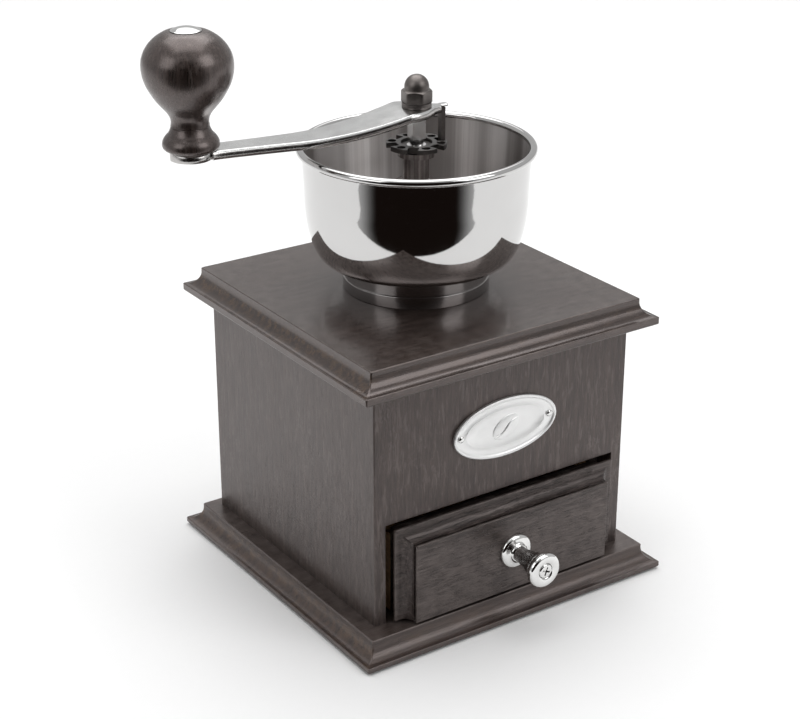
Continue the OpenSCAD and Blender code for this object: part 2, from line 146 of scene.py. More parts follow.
def wood(name, axis, dark, light, seed=0.0, fleck=0.5, dash=0.0, cove_highlight_amount=0.0, rough=(0.3, 0.42), coat=0.12, pore=0.5, bump=0.3, ior=1.72):
    """Stained timber with long fibres, open pores and short wavy ray flecks, with painted highlights on the moulded
    coves and along the arrises; axis is the way the grain runs.
    """
    m = Net(name)
    k = "XYZ".index(axis)

    def along(across, lengthwise):
        s = [across] * 3
        s[k] = lengthwise
        return tuple(s)

    off = (seed, seed * 1.7 + 0.3, seed * 0.6 + 0.9)
    wob = m.noise(m.mapped((38, 38, 38), off), detail=2)
    bent = m.node("ShaderNodeVectorMath", operation="MULTIPLY_ADD")
    m.put(bent.inputs[0], wob)
    bent.inputs[1].default_value = tuple(0.0 if i == k else 0.0016 for i in range(3))
    m.put(bent.inputs[2], m.coord)
    vec = bent.outputs[0]
    fibre = m.noise(m.mapped(along(620, 20), off, src=vec), detail=7, rough=0.66)
    fine = m.noise(m.mapped(along(1900, 75), off, src=vec), detail=5, rough=0.6)
    broad = m.noise(m.mapped(along(70, 7), off, src=vec), detail=3, rough=0.5, dist=0.6)
    cloud = m.noise(m.mapped((26, 26, 26), off), detail=3)
    pores = m.span(m.noise(m.mapped(along(2300, 130), off, src=vec), detail=3, rough=0.5), 0.36, 0.44, 1, 0)
    contour = m.noise(m.mapped(along(560, 230), off), detail=2.5, rough=0.55, dist=0.5)
    line = m.span(m.math("ABSOLUTE", m.math("SUBTRACT", contour, 0.5)), 0.008, 0.05, 1, 0)
    patchy = m.span(m.noise(m.mapped(along(210, 110), (seed + 5, 2, 8)), detail=3), 0.44, 0.58, 0, 1)
    banded = m.span(m.noise(m.mapped(along(30, 11), (seed + 2, 7, 4)), detail=1), 0.42, 0.6, 0, 1)
    flecks = m.math("MULTIPLY", m.math("MULTIPLY", line, patchy), m.math("MULTIPLY", banded, fleck))
    tone = m.math("ADD", m.math("MULTIPLY", fibre, 0.5), m.math("MULTIPLY", fine, 0.5))
    col = m.mix(m.span(tone, 0.41, 0.6, 0, 1), dark, light)
    col = m.mix(m.span(broad, 0.3, 0.7, 0.0, 0.35), col, m.mix(1.0, col, rgb(0.55, 0.5, 0.46), "MULTIPLY"))
    col = m.mix(m.span(cloud, 0.35, 0.7, 0.0, 0.22), col, tuple(min(1.0, c * 1.3) for c in light[:3]) + (1.0,))
    col = m.mix(flecks, col, rgb(0.15, 0.128, 0.12))
    if dash:
        streaks = m.noise(m.mapped(along(820, 125), (seed + 1, 4, 6), src=vec), detail=3, rough=0.6, dist=0.35)
        col = m.mix(m.math("MULTIPLY", m.span(streaks, 0.54, 0.66, 0, 1), dash), col, rgb(0.12, 0.1, 0.092))
        col = m.mix(m.math("MULTIPLY", m.span(streaks, 0.46, 0.34, 0, 1), dash), col, tuple(c * 0.3 for c in dark[:3]) + (1.0,))
    col = m.mix(m.math("MULTIPLY", pores, pore), col, tuple(c * 0.35 for c in dark[:3]) + (1.0,))
    # painted highlight: a lighter tan band, streaked by noise, along the moulded coves from the cove mask
    if cove_highlight_amount:
        streak = m.span(m.noise(m.mapped(along(420, 160), (seed, 3, 3)), detail=4), 0.42, 0.62, 0, 1)
        cove_highlight = m.math("MULTIPLY", m.math("MULTIPLY", m.attr("cove_highlight"), streak), cove_highlight_amount)
        col = m.mix(cove_highlight, col, rgb(0.085, 0.052, 0.03))
    # painted highlight: a lighter colour, broken up by noise, along the arrises given by the vertex mask
    edge = m.math("MULTIPLY", m.attr("edge"), m.span(m.noise(m.mapped((240, 240, 240), off), detail=4), 0.35, 0.65, 0.1, 0.5))
    col = m.mix(edge, col, rgb(0.12, 0.1, 0.092))
    m.set(base=col, rough=m.span(m.math("ADD", fine, m.math("MULTIPLY", cloud, 0.4)), 0.45, 1.0, rough[0], rough[1]),
          coat=coat, coat_rough=0.16, ior=ior)
    m.bsdf.inputs["Specular Tint"].default_value = (1.0, 0.86, 0.83, 1.0)
    h = m.math("SUBTRACT", m.math("MULTIPLY", fine, 0.7), m.math("MULTIPLY", pores, 0.8))
    m.bump(h, bump, 0.0003)
    return m.mat


def polished(name, tint, rough=(0.03, 0.09), smudge=30.0, bump=0.02, grain=None, dark=None):
    """Bright plated metal with faint smudges and hairline polishing marks."""
    m = Net(name)
    sm = m.noise(m.mapped((smudge, smudge, smudge)), detail=5, rough=0.6)
    hair = m.noise(m.mapped(grain or (1500, 1500, 1500)), detail=3, rough=0.7)
    col = m.mix(m.span(sm, 0.3, 0.7, 0, 1), tuple(c * 0.93 for c in tint[:3]) + (1.0,), tint)
    if dark is not None:
        pits = m.span(m.noise(m.mapped((900, 900, 900)), detail=4), 0.3, 0.42, 0.8, 0)
        col = m.mix(pits, col, dark)
    m.set(base=col, metal=1.0, rough=m.span(m.math("ADD", m.math("MULTIPLY", sm, 0.6), m.math("MULTIPLY", hair, 0.4)), 0.35, 0.65, rough[0], rough[1]))
    m.bump(hair, bump, 0.0001)
    return m.mat


def brushed(name, tint, scale, rough=(0.18, 0.34), bump=0.06, contrast=0.75):
    """Satin metal with fine lines; scale is large across the lines and small along them."""
    m = Net(name)
    lines = m.noise(m.mapped(scale), detail=5, rough=0.7)
    cloud = m.noise(m.mapped((45, 45, 45)), detail=3)
    col = m.mix(m.span(lines, 0.3, 0.7, 0, 1), tuple(c * contrast for c in tint[:3]) + (1.0,), tint)
    col = m.mix(m.span(cloud, 0.35, 0.7, 0, 0.3), col, tuple(c * 0.7 for c in tint[:3]) + (1.0,))
    m.set(base=col, metal=1.0, rough=m.span(lines, 0.3, 0.7, rough[0], rough[1]))
    m.bump(lines, bump, 0.0001)
    return m.mat


def cast(name, tint, metal=1.0, rough=(0.32, 0.55), grit=1300.0, bump=0.25):
    """Dull dark metal with a fine gritty skin and lighter rubbed spots."""
    m = Net(name)
    g = m.noise(m.mapped((grit, grit, grit)), detail=5, rough=0.65)
    c = m.noise(m.mapped((120, 120, 120)), detail=4)
    col = m.mix(m.span(c, 0.35, 0.68, 0, 1), tuple(v * 0.7 for v in tint[:3]) + (1.0,), tuple(min(1, v * 1.25) for v in tint[:3]) + (1.0,))
    col = m.mix(m.span(g, 0.55, 0.75, 0, 0.5), col, tuple(min(1, v * 1.7) for v in tint[:3]) + (1.0,))
    m.set(base=col, metal=metal, rough=m.span(g, 0.3, 0.7, rough[0], rough[1]))
    m.bump(g, bump, 0.0002)
    return m.mat


def spun_with_painted_sheen(name, light, dark):
    """Satin steel with fine lines round the bowl's axis and a real anisotropic sheen; its broad upright light and dark
    bands are painted sheen in the base colour.
    """
    m = Net(name)
    flat = m.node("ShaderNodeVectorMath", operation="MULTIPLY")
    m.put(flat.inputs[0], m.coord)
    flat.inputs[1].default_value = (1, 1, 0)
    unit = m.node("ShaderNodeVectorMath", operation="NORMALIZE")
    m.put(unit.inputs[0], flat.outputs[0])
    # painted sheen: broad upright light and dark bands in the base colour, fixed round the bowl's axis
    painted_sheen_bands = m.noise(m.mapped((2.3, 2.3, 2.3), (4.1, 2.2, 0), src=unit.outputs[0]), detail=2, rough=0.5)
    lines = m.noise(m.mapped((26, 26, 26), (1.1, 0.4, 0), src=unit.outputs[0]), detail=5, rough=0.75)
    rub = m.noise(m.mapped((70, 70, 14)), detail=4)
    f = m.math("ADD", m.math("MULTIPLY", painted_sheen_bands, 0.86), m.math("MULTIPLY", lines, 0.14))
    col = m.mix(m.span(f, 0.42, 0.58, 0, 1), dark, light)
    col = m.mix(m.span(rub, 0.4, 0.7, 0, 0.25), col, dark)
    m.set(base=col, metal=1.0, rough=m.span(rub, 0.3, 0.7, 0.36, 0.44), aniso=0.88)
    m.bsdf.inputs["Anisotropic Rotation"].default_value = 0.25
    around = m.node("ShaderNodeTangent", direction_type="RADIAL", axis="Z")
    m.put(m.bsdf.inputs["Tangent"], around.outputs["Tangent"])
    m.bump(rub, 0.04, 0.0002)
    return m.mat


def felt_mat():
    m = Net("felt_black")
    f = m.noise(m.mapped((2600, 2600, 2600)), detail=5, rough=0.8, dist=1.2)
    p = m.noise(m.mapped((90, 90, 90)), detail=3)
    col = m.mix(m.span(f, 0.3, 0.75, 0, 1), rgb(0.008, 0.008, 0.008), rgb(0.035, 0.033, 0.032))
    col = m.mix(m.span(p, 0.4, 0.7, 0, 0.4), col, rgb(0.02, 0.019, 0.018))
    m.set(base=col, rough=m.span(f, 0.3, 0.7, 0.85, 1.0), sheen=0.4)
    m.bump(f, 0.8, 0.0004)
    return m.mat


WOOD_D, WOOD_L = rgb(0.009, 0.0058, 0.0048), rgb(0.050, 0.036, 0.031)
M = {
    "wall": wood("oak_dark_upright", "Z", WOOD_D, WOOD_L, seed=0.0, fleck=0.45, dash=0.35),
    "wall_front": wood("oak_dark_front", "Z", tuple(c * 0.95 for c in WOOD_D[:3]) + (1,), WOOD_L, seed=3.1, fleck=0.8, dash=0.6, rough=(0.34, 0.46)),
    "top": wood("oak_dark_top", "X", WOOD_D, WOOD_L, seed=1.3, fleck=0.12, cove_highlight_amount=0.9, rough=(0.17, 0.26), coat=0.24, pore=0.25, bump=0.08),
    "base": wood("oak_dark_base", "X", WOOD_D, WOOD_L, seed=4.2, fleck=0.12, cove_highlight_amount=0.9, rough=(0.26, 0.38), coat=0.12, pore=0.35, bump=0.16),
    "drawer": wood("oak_dark_drawer", "X", tuple(c * 0.5 for c in WOOD_D[:3]) + (1,), tuple(c * 0.62 for c in WOOD_L[:3]) + (1,), seed=7.7, fleck=0.1, dash=0.5, pore=0.9, bump=0.5, ior=1.6),
    "knob": wood("beech_dark_turned", "Z", tuple(c * 0.9 for c in WOOD_D[:3]) + (1,), tuple(c * 0.95 for c in WOOD_L[:3]) + (1,), seed=9.4, fleck=0.0, dash=0.4, rough=(0.24, 0.33), pore=0.25, bump=0.06, ior=1.85),
    "stem": wood("beech_black_turned", "Y", rgb(0.014, 0.011, 0.010), rgb(0.03, 0.024, 0.021), seed=2.6, fleck=0.0, rough=(0.2, 0.3), coat=0.5),
    "box": wood("beech_plain_box_side", "Y", rgb(0.34, 0.2, 0.1), rgb(0.52, 0.34, 0.19), seed=5.5, fleck=0.12, rough=(0.5, 0.65), coat=0.0, pore=0.3, ior=1.45),
    "box_x": wood("beech_plain_box_back", "X", rgb(0.34, 0.2, 0.1), rgb(0.52, 0.34, 0.19), seed=6.5, fleck=0.12, rough=(0.5, 0.65), coat=0.0, pore=0.3, ior=1.45),
    "dowel": wood("beech_plain_dowel", "Z", rgb(0.4, 0.25, 0.13), rgb(0.58, 0.4, 0.23), seed=8.5, fleck=0.05, rough=(0.5, 0.65), coat=0.0, pore=0.3, ior=1.45),
    "chrome": polished("chrome_bowl", rgb(0.63, 0.625, 0.62), rough=(0.035, 0.075)),
    # inside of the bowl: the two colours are the light and dark ends of the painted sheen bands
    "inner": spun_with_painted_sheen("steel_bowl_inside", rgb(0.88, 0.855, 0.845), rgb(0.36, 0.335, 0.325)),
    # darker chrome for the arm's sides and underside: painted shade on the same plated arm
    "arm_edge": polished("chrome_arm_edge", rgb(0.5, 0.485, 0.475), rough=(0.16, 0.3), bump=0.09, smudge=160),
    "arm": polished("chrome_arm", rgb(0.8, 0.8, 0.795), rough=(0.12, 0.24), bump=0.09, smudge=110),
    # the collar's chrome is darkened to a 0.36 tint: painted dark reflection of the wooden lid
    "collar": polished("chrome_collar_painted_dark", rgb(0.36, 0.345, 0.34), rough=(0.08, 0.16)),
    "shaft": polished("steel_shaft_polished", rgb(0.9, 0.895, 0.89), rough=(0.18, 0.28), smudge=150),
    "fitting": polished("chrome_fittings", rgb(0.80, 0.80, 0.79), rough=(0.03, 0.08), smudge=200),
    "badge": brushed("steel_badge", rgb(0.92, 0.92, 0.915), (260, 260, 2600), rough=(0.42, 0.52), contrast=0.96, bump=0.03),
    "gun": cast("gunmetal_nut", rgb(0.163, 0.147, 0.14), rough=(0.36, 0.48), bump=0.05),
    "wheel": cast("nickel_wheel", rgb(0.10, 0.094, 0.09), rough=(0.26, 0.42), bump=0.08),
    "iron": cast("iron_bridge", rgb(0.34, 0.31, 0.30), rough=(0.12, 0.24), bump=0.08),
    "burr": cast("burr_steel_grey", rgb(0.36, 0.35, 0.35), rough=(0.3, 0.5)),
    "steel": polished("steel_bright", rgb(0.72, 0.72, 0.73), rough=(0.12, 0.24), smudge=150),
    "bronze": brushed("bronze_bush", rgb(0.6, 0.38, 0.17), (60, 60, 2200), rough=(0.25, 0.4)),
    "felt": felt_mat(),
}


# ---------------------------------------------------------------- mesh helpers
def link(obj):
    bpy.context.scene.collection.objects.link(obj)
    return obj


def finish_bm(bm, name, mats, merge=1e-6, sharp=32.0):
    if merge:
        bmesh.ops.remove_doubles(bm, verts=bm.verts, dist=merge)
    bmesh.ops.recalc_face_normals(bm, faces=bm.faces)
    me = bpy.data.meshes.new(name)
    bm.to_mesh(me)
    bm.free()
    for f in me.polygons:
        f.use_smooth = True
    me.set_sharp_from_angle(angle=math.radians(sharp))
    for m in mats if isinstance(mats, (list, tuple)) else [mats]:
        me.materials.append(m)
    return link(bpy.data.objects.new(name, me))


def put(obj, body, nodes):
    """Hangs the piece on its body, in place of the CAD nodes."""
    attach(obj, body)
    if nodes:
        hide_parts(*nodes)
    return obj


def strip(bm, a, b, closed=True, mat=0):
    n = len(a)
    for i in range(n if closed else n - 1):
        j = (i + 1) % n
        vs = [a[i], a[j], b[j], b[i]]
        if len({v.index if v.index >= 0 else id(v) for v in vs}) == 4:
            try:
                f = bm.faces.new(vs)
                f.material_index = mat
            except ValueError:
                pass


def rows_to_bm(rows, closed_ring=True, closed_path=False, cap=False, bm=None, mats=None):
    """Skins a list of rings of points (mm) into a bmesh in metres."""
    bm = bm or bmesh.new()
    vs = [[bm.verts.new(Vector(p) * MM) for p in row] for row in rows]
    for i in range(len(vs) - 1):
        strip(bm, vs[i], vs[i + 1], closed_ring, mats[i] if mats else 0)
    if closed_path:
        strip(bm, vs[-1], vs[0], closed_ring, mats[-1] if mats else 0)
    if cap:
        bm.faces.new(vs[0])
        bm.faces.new(list(reversed(vs[-1])))
    return bm


def arc(cx, cy, r, a0, a1, n, ry=None):
    ry = r if ry is None else ry
    return [(cx + r * math.cos(math.radians(a0 + (a1 - a0) * i / n)), cy + ry * math.sin(math.radians(a0 + (a1 - a0) * i / n))) for i in range(n + 1)]


def smooth_pts(pts, n=4):
    """Points on a smooth curve through pts."""
    out = []
    for i in range(len(pts) - 1):
        p0 = pts[max(0, i - 1)]
        p1, p2 = pts[i], pts[i + 1]
        p3 = pts[min(len(pts) - 1, i + 2)]
        for j in range(n):
            t = j / n
            out.append(tuple(
                0.5 * ((2 * p1[k]) + (-p0[k] + p2[k]) * t + (2 * p0[k] - 5 * p1[k] + 4 * p2[k] - p3[k]) * t * t + (-p0[k] + 3 * p1[k] - 3 * p2[k] + p3[k]) * t ** 3)
                for k in range(2)))
    out.append(tuple(pts[-1]))
    return out


def lathe(prof, centre=(0, 0), seg=96, axis="Z", z0=0.0, closed=True, mats=None, bm=None):
    """Turns (radius, height) points into a ring mesh; axis '-Y' turns about the drawer knob's axis."""
    rows = []
    for r, h in prof:
        row = []
        for i in range(seg):
            t = 2 * math.pi * i / seg
            c, s = r * math.cos(t), r * math.sin(t)
            row.append((centre[0] + c, centre[1] + s, h + z0) if axis == "Z" else (centre[0] + c, -h, centre[1] + s))
        rows.append(row)
    return rows_to_bm(rows, closed_path=closed, bm=bm, mats=mats)


def rrect(hx, hy, r, k=5, m=12):
    """Rounded rectangle with m extra points along every side."""
    pts = []
    for i, (sx, sy) in enumerate(((1, 1), (-1, 1), (-1, -1), (1, -1))):
        cx, cy = sx * (hx - r), sy * (hy - r)
        corner = [(cx + r * math.cos(math.radians(90 * i + 90 * j / k)), cy + r * math.sin(math.radians(90 * i + 90 * j / k))) for j in range(k + 1)]
        pts += corner
        nx, ny = ((-1, 1), (-1, -1), (1, -1), (1, 1))[i]
        t = math.radians(90 * i + 90)
        nxt = (nx * (hx - r) + r * math.cos(t), ny * (hy - r) + r * math.sin(t))
        last = corner[-1]
        pts += [(last[0] + (nxt[0] - last[0]) * j / (m + 1), last[1] + (nxt[1] - last[1]) * j / (m + 1)) for j in range(1, m + 1)]
    return pts


def paint(obj, name, fn):
    """Stores a number per vertex, from the vertex's place in mm."""
    at = obj.data.attributes.new(name, "FLOAT", "POINT")
    at.data.foreach_set("value", [fn(*(v.co / MM)) for v in obj.data.vertices])


def cut(obj, *cutters):
    """Takes the cutters out of obj and leaves a plain mesh."""
    for c in cutters:
        mod = obj.modifiers.new("cut", "BOOLEAN")
        mod.operation = "DIFFERENCE"
        mod.solver = "EXACT"
        mod.object = c
    bpy.context.view_layer.update()
    dg = bpy.context.evaluated_depsgraph_get()
    me = bpy.data.meshes.new_from_object(obj.evaluated_get(dg))
    old = obj.data
    obj.modifiers.clear()
    obj.data = me
    bpy.data.meshes.remove(old)
    for c in cutters:
        bpy.data.objects.remove(c)
    for f in me.polygons:
        f.use_smooth = True
    me.set_sharp_from_angle(angle=math.radians(32))
    return obj


def level(obj):
    """Keeps large flat faces shaded flat beside their rounded edges."""
    w = obj.modifiers.new("flat_faces", "WEIGHTED_NORMAL")
    w.keep_sharp = True
    w.weight = 80
    return obj


def plate(loops, z0, z1, bm):
    """A flat plate from an outline and the outlines of its holes, in mm."""
    rings, edges = [], []
    for loop in loops:
        vs = [bm.verts.new((x * MM, y * MM, z1 * MM)) for x, y in loop]
        rings.append(vs)
        edges += [bm.edges.new((vs[i], vs[(i + 1) % len(vs)])) for i in range(len(vs))]
    made = bmesh.ops.triangle_fill(bm, use_beauty=True, use_dissolve=False, edges=edges, normal=(0, 0, 1))["geom"]
    tops = [f for f in made if isinstance(f, bmesh.types.BMFace)]
    low = {}
    for vs in rings:
        for v in vs:
            low[v] = bm.verts.new((v.co.x, v.co.y, z0 * MM))
    for f in tops:
        bm.faces.new([low[v] for v in reversed(f.verts)])
    for vs in rings:
        for i, v in enumerate(vs):
            w = vs[(i + 1) % len(vs)]
            bm.faces.new([v, w, low[w], low[v]])
    return bm


def block(x0, y0, z0, x1, y1, z1, turn=0.0):
    """A cutter block in mm, turned about the Z axis."""
    bm = bmesh.new()
    pts = [(x, y, z) for z in (z0, z1) for x, y in ((x0, y0), (x1, y0), (x1, y1), (x0, y1))]
    c, s = math.cos(math.radians(turn)), math.sin(math.radians(turn))
    vs = [bm.verts.new(Vector((x * c - y * s, x * s + y * c, z)) * MM) for x, y, z in pts]
    for f in ((3, 2, 1, 0), (4, 5, 6, 7), (0, 1, 5, 4), (1, 2, 6, 5), (2, 3, 7, 6), (3, 0, 4, 7)):
        bm.faces.new([vs[i] for i in f])
    return finish_bm(bm, "cutter", [], merge=0)


# ---------------------------------------------------------------- boards
def board_profile(lip, face, z0, zl, z1):
    p = [(lip - 0.8, z0)] + arc(lip - 0.5, z0 + 0.5, 0.5, -90, 0, 5)[1:]
    p += arc(lip - 0.35, zl - 0.35, 0.35, 0, 90, 5)
    w, h = lip - 0.35 - face, z1 - 1.3 - zl
    p += [(face + w * (1 - math.cos(math.radians(t))), (z1 - 1.3) - h * math.sin(math.radians(t))) for t in range(86, -1, -4)]
    p += [(face, z1 - 0.9)] + arc(face - 0.4, z1 - 0.4, 0.4, 0, 90, 5)
    return p


def board(name, lip, face, z0, zl, z1, shift, mat, hole=None):
    prof = board_profile(lip, face, z0, zl, z1)
    rows = [[(x, y + shift, z) for x, y in rrect(d, d, 0.55, 5, 24)] for d, z in prof]
    if hole:
        ring = [math.atan2(y, x) for x, y in rrect(face, face, 0.55, 5, 24)]
        for z in (z1, z0):
            rows.append([(hole * math.cos(t), hole * math.sin(t), z) for t in ring])
        bm = rows_to_bm(rows, closed_path=True)
    else:
        bm = rows_to_bm(rows, cap=True)
    ob = finish_bm(bm, name, mat)
    mid = (zl + z1) / 2

    # painted highlight on the cove: a band a little below its middle, full on the left side and 0.3 on the other sides
    def cove_highlight(x, y, z):
        d = max(abs(x), abs(y - shift))
        left = 1.0 if x < 0 and abs(x) >= abs(y - shift) else 0.3
        return left * max(0.0, 1 - abs(z - mid + 0.6) / (z1 - zl) * 1.5) if d > face - 0.2 else 0.0

    # painted highlight along the lip's upper arris and the top face's outer arris
    def edge(x, y, z):
        d = max(abs(x), abs(y - shift))
        return 1.0 if (abs(d - lip) < 0.2 and z > zl - 0.6) or (abs(d - face) < 0.5 and z > z1 - 0.5) else 0.0

    paint(ob, "cove_highlight", cove_highlight)
    paint(ob, "edge", edge)
    return level(ob)


put(board("top_board_moulded", 63.1, 57.9, 99.7, 102.55, 109.3, 0.0, M["top"], hole=20.3), "case", ["top_board"])
put(board("base_board_moulded", 66.1, 61.0, 0.8, 2.9, 9.75, -1.8, M["base"]), "case", ["base_board"])


def wall(name, turn, mat, bay=False):
    """One mitred wall of the case. Its long outer arrises are slightly rounded."""
    r = 0.5
    z0, z1 = 9.75, 99.7
    plan = arc(-55 + r, -55 + r, r, 225, 270, 4) + arc(55 - r, -55 + r, r, 270, 315, 4) + [(47, -47), (-47, -47)]
    c, s = math.cos(math.radians(turn)), math.sin(math.radians(turn))
    rows = []
    n = 24
    for i in range(n + 1):
        z = z0 + (z1 - z0) * i / n
        rows.append([(x * c - y * s, x * s + y * c, z) for x, y in plan])
    ob = finish_bm(rows_to_bm(rows, cap=True), name, mat)
    if bay:
        ob = cut(ob, block(-50.4, -60, 5, 50.4, -46.99, 48.4))

    # painted highlight along the four long vertical arrises
    def edge(x, y, z):
        return 1.0 if abs(abs(x) - 55) < 0.3 and abs(abs(y) - 55) < 0.3 else 0.0

    paint(ob, "edge", edge)
    return level(ob)


put(wall("front_wall", 0, M["wall_front"], bay=True), "case", ["front_panel"])
put(wall("back_wall", 180, M["wall"]), "case", ["back_panel"])
put(wall("left_wall", -90, M["wall"], bay=True), "case", ["left_panel"])
put(wall("right_wall", 90, M["wall"], bay=True), "case", ["right_panel"])

felt = finish_bm(rows_to_bm([[(x, y - 1.8, z) for x, y in rrect(h, h, 1.5, 5, 6)] for h, z in ((63.3, 0.0), (63.5, 0.15), (63.5, 0.65), (63.3, 0.8))], cap=True), "base_felt_sheet", M["felt"])
put(felt, "case", ["base_felt"])


# ---------------------------------------------------------------- drawer
def drawer_profile():
    """(side, top, y) from the back of the core to the raised field."""
    p = [(45.7, 45.0, -51.0), (45.7, 45.0, -56.7), (48.3, 46.9, -56.7), (48.4, 47.0, -56.85), (48.4, 47.0, -57.55)]
    p += [(48.4 - 0.35 + 0.35 * math.cos(math.radians(t)), 47.0 - 0.35 + 0.35 * math.cos(math.radians(t)), -57.55 - 0.35 * math.sin(math.radians(t))) for t in (30, 60, 90)]
    for t in range(88, -1, -4):
        d, y = 3.6 * (1 - math.cos(math.radians(t))), -61.5 + 3.6 * math.sin(math.radians(t))
        p.append((42.8 + d, 41.6 + d, y))
    p += [(42.1, 40.9, -61.56), (41.5, 40.3, -61.7), (41.4, 40.2, -61.95), (41.6, 40.4, -62.2), (42.8, 41.6, -62.36), (42.8, 41.6, -62.6)]
    p += [(42.8 - 0.4 + 0.4 * math.cos(math.radians(t)), 41.6 - 0.4 + 0.4 * math.cos(math.radians(t)), -62.6 - 0.4 * math.sin(math.radians(t))) for t in (30, 60, 90)]
    return p


def drawer_ring(w, h, y, k=4, m=20, r=0.5, z0=11.0):
    pts = [(-w, y, z0 + (h - r - z0) * i / 6) for i in range(6)]
    pts += [(-w + r + r * math.cos(math.radians(180 - 90 * j / k)), y, h - r + r * math.sin(math.radians(180 - 90 * j / k))) for j in range(k + 1)]
    pts += [(-w + r + (2 * w - 2 * r) * j / m, y, h) for j in range(1, m)]
    pts += [(w - r + r * math.cos(math.radians(90 - 90 * j / k)), y, h - r + r * math.sin(math.radians(90 - 90 * j / k))) for j in range(k + 1)]
    pts += [(w, y, z0 + (h - r - z0) * (6 - i) / 6) for i in range(1, 7)]
    return pts


rows = [drawer_ring(w, h, y) for w, h, y in drawer_profile()]
bm = rows_to_bm(rows, closed_ring=False)
bm.verts.ensure_lookup_table()
n = len(rows[0])
first, last = [bm.verts[i] for i in range(n)], [bm.verts[(len(rows) - 1) * n + i] for i in range(n)]
bm.faces.new(first)
bm.faces.new(last)
bm.faces.new([bm.verts[i * n] for i in range(len(rows))] + [bm.verts[i * n + n - 1] for i in range(len(rows) - 1, -1, -1)])
dfront = finish_bm(bm, "drawer_front_moulded", M["drawer"])
# painted highlight along the raised field's sides and top and along the lip's outer arrises
paint(dfront, "edge", lambda x, y, z: 1.0 if (y < -62.55 and (abs(abs(x) - 42.8) < 0.45 or z > 41.2)) or (y < -57.2 and y > -58.2 and (abs(x) > 48.0 or z > 46.6)) else 0.0)
put(level(dfront), "drawer", ["drawer_front"])


def turned_y(name, prof, mat, node, seg=64):
    ob = finish_bm(lathe(prof, (0, 26.6), seg, "-Y"), name, mat)
    return put(ob, "drawer", [node])


turned_y("drawer_knob_rosette_turned", [(1.6, 63.02), (6.4, 63.02)] + smooth_pts([(6.5, 63.1), (6.6, 63.6), (6.35, 64.3), (5.6, 64.8), (4.4, 65.1), (3.7, 65.4), (3.4, 65.9), (3.1, 66.2)], 3) + [(1.6, 66.2)], M["fitting"], "drawer_knob_rosette")
turned_y("drawer_knob_stem_turned", [(1.6, 66.25)] + smooth_pts([(2.9, 66.25), (3.0, 68.5), (3.5, 71.5), (4.4, 74.5), (5.3, 77.35)], 4) + [(1.6, 77.4)], M["stem"], "drawer_knob_stem")
turned_y("drawer_knob_head_turned", [(2.9, 77.45)] + smooth_pts([(5.3, 77.45), (5.8, 77.7), (6.3, 78.3), (6.55, 79.2), (6.5, 80.0), (6.2, 80.75), (5.6, 81.15), (4.6, 81.3), (3.6, 81.2), (3.0, 80.95)], 3) + [(2.9, 80.8)], M["fitting"], "drawer_knob_head")

screw = finish_bm(lathe([(0.0001, 51.4), (1.0, 52.4), (1.5, 54.0), (1.5, 78.6), (2.8, 78.6), (2.8, 80.5)] + arc(2.0, 80.5, 0.8, 0, 70, 4)[1:] + [(1.2, 81.25), (0.0001, 81.3)], (0, 26.6), 48, "-Y", closed=False), "drawer_knob_screw_turned", M["fitting"], merge=1e-6)
slots = []
for turn in (20, 110):
    b = block(-1.65, -82, -0.32, 1.65, -80.3, 0.32)
    b.data.transform(Matrix.Translation((0, 0, 26.6 * MM)) @ Matrix.Rotation(math.radians(turn), 4, "Y"))
    slots.append(b)
cut(screw, *slots)
put(screw, "drawer", ["drawer_knob_screw"])


# ---------------------------------------------------------------- badge
def oval_rows(steps, n=96, z=73.0, x=0.0, turn=0.0):
    """Rings of (x radius, z radius, y)."""
    rows = []
    c, s = math.cos(math.radians(turn)), math.sin(math.radians(turn))
    for rx, rz, y in steps:
        rows.append([(x + rx * math.cos(t) * c - rz * math.sin(t) * s, y, z + rx * math.cos(t) * s + rz * math.sin(t) * c) for t in (2 * math.pi * i / n for i in range(n))])
    return rows


def bean_rows(a, b, high, turn, y0, n=96, m=26):
    rows = []
    c, s = math.cos(math.radians(turn)), math.sin(math.radians(turn))
    for j in range(m + 1):
        q = max(1e-4, 1 - j / m)
        row = []
        for i in range(n):
            t = 2 * math.pi * i / n
            u, v = a * q * math.cos(t), b * q * math.sin(t)
            h = high * math.sqrt(max(0.0, 1 - q * q))
            crease = v - 0.2 * b * math.sin(math.pi * u / a)
            h = max(h - 0.75 * high * math.exp(-((crease / 0.28) ** 2)) * (1 if q < 0.97 else 0), -0.05)
            row.append((u * c - v * s, y0 - h, 73.0 + u * s + v * c))
        rows.append(row)
    return rows


steps = [(22.2, 11.0, -55.0), (22.35, 11.15, -55.1), (22.4, 11.2, -55.3), (22.4, 11.2, -56.0), (22.3, 11.1, -56.25), (22.05, 10.85, -56.38),
         (21.8, 10.6, -56.4), (21.5, 10.3, -56.38), (21.2, 10.0, -56.2), (21.0, 9.8, -55.98), (20.8, 9.6, -55.9),
         (17.5, 7.3, -55.9), (17.35, 7.15, -56.0), (17.15, 6.95, -56.0), (17.0, 6.8, -55.9), (12.0, 4.0, -55.9), (8.0, 2.6, -55.9)]
bm = rows_to_bm(oval_rows(steps), cap=True)
rows_to_bm(bean_rows(6.2, 4.0, 0.5, 28, -55.88), bm=bm)
badge = finish_bm(bm, "badge_plate_embossed", M["badge"], sharp=50)
put(badge, "case", ["badge_plate"])

pins = bmesh.new()
for x in (-19.3, 19.3):
    prof = [(0.75, 50.0), (0.75, 55.95), (1.3, 55.95), (1.28, 56.1), (1.05, 56.38), (0.6, 56.54), (0.0001, 56.59)]
    rows = [[(x + r * math.cos(t), -h, 73.2 + r * math.sin(t)) for t in (2 * math.pi * i / 32 for i in range(32))] for r, h in [(0.0001, 50.0)] + prof]
    rows_to_bm(rows, bm=pins)
put(finish_bm(pins, "badge_pins_domed", M["fitting"]), "case", ["badge_pins"])

